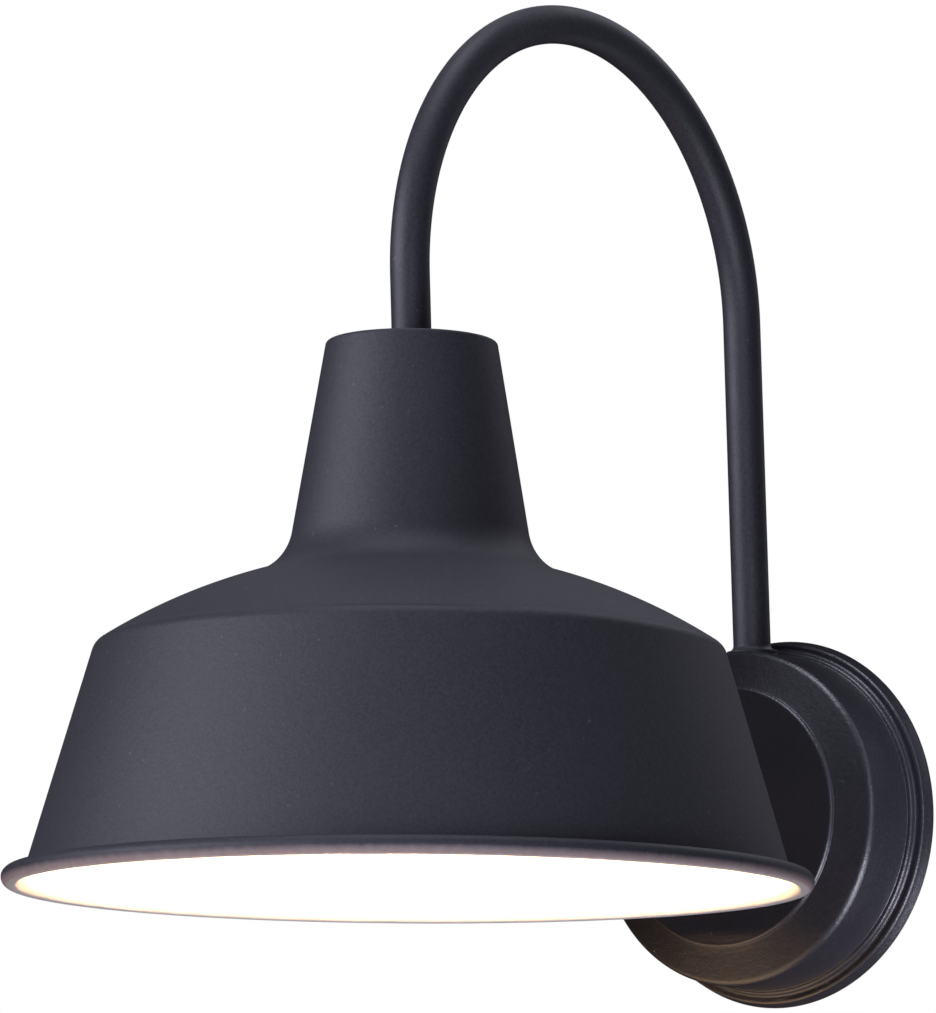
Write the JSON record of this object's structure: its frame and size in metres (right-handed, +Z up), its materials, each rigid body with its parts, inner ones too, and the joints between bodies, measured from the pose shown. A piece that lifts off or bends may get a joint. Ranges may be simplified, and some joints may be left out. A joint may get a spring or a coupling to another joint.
{
  "type": "outdoor wall lantern",
  "caption": "Warehouse style metal shade on a gooseneck arm and a round stepped wall canopy; the lamp screws in and out of its holder.",
  "frame": {"origin": "centre of the wall canopy's rear edge, on the wall", "axes": "+Y points into the wall and the lantern reaches out along -Y, +Z up, +X completes the right-handed frame"},
  "size_m": [0.3048, 0.3964, 0.3877],
  "materials": {
    "black_paint": "fine textured satin black powder coat; the shade is gloss white inside",
    "foam": "closed cell foam",
    "zinc_plate": "bright zinc plate",
    "green_plate": "green dyed zinc plate",
    "seal_rubber": "matte",
    "plain_steel": "turned",
    "yellow_brass": "turned",
    "glazed_body": "glazed white",
    "shell_metal": "drawn sheet",
    "frosted_glass": "soft white frosted, lit",
    "stem_glass": "clear",
    "tungsten": "drawn wire",
    "dark_glass": "moulded",
    "solder": "solder",
    "black_insulation": "matte",
    "white_insulation": "matte",
    "bare_copper": "bare copper",
    "wire_nut_plastic": "moulded"
  },
  "bodies": {
    "root": {"wall_canopy": "black_paint", "canopy_gasket": "foam", "crossbar": "zinc_plate", "ground_screw": "green_plate", "crossbar_stud": "zinc_plate", "stud_locknut": "zinc_plate", "cap_nut_seal": "seal_rubber", "canopy_cap_nut": "black_paint", "arm_foot_collar": "black_paint", "gooseneck_arm": "black_paint", "arm_foot_bush": "plain_steel", "arm_foot_nipple": "zinc_plate", "arm_foot_washer": "plain_steel", "ground_lug": "yellow_brass", "arm_foot_locknut": "zinc_plate", "arm_nose_bush": "plain_steel", "shade_nipple": "zinc_plate", "neck_seal_washer": "seal_rubber", "shade_washer": "plain_steel", "shade_locknut": "zinc_plate", "shade": "black_paint", "socket_bracket": "zinc_plate", "bracket_nut": "zinc_plate", "socket_body": "glazed_body", "socket_shell": "shell_metal", "centre_contact": "yellow_brass", "terminal_screws": "yellow_brass", "bracket_screws": "plain_steel", "wire_black": "black_insulation", "wire_white": "white_insulation", "wire_ground": "bare_copper", "wire_nuts": "wire_nut_plastic"},
    "lamp_carrier": {"bulb_contact": "solder", "bulb_insulator": "dark_glass"},
    "lamp": {"bulb_glass": "frosted_glass", "bulb_stem": "stem_glass", "bulb_filament": "tungsten", "bulb_shell": "shell_metal"}
  },
  "joints": [
    {"name": "bulb_travel", "type": "slide", "parent": "root", "child": "lamp_carrier", "axis": [0, 0, -1], "range_m": [0, 0.0182]},
    {"name": "bulb_turn", "type": "hinge", "parent": "lamp_carrier", "child": "lamp", "pos_m": [0, -0.244, 0.08], "axis": [0, 0, -1], "range_deg": [0, 1800]}
  ],
  "couplings": [
    {"joint": "bulb_travel", "follows": "bulb_turn", "m_per_rad": 0.00057757}
  ]
}
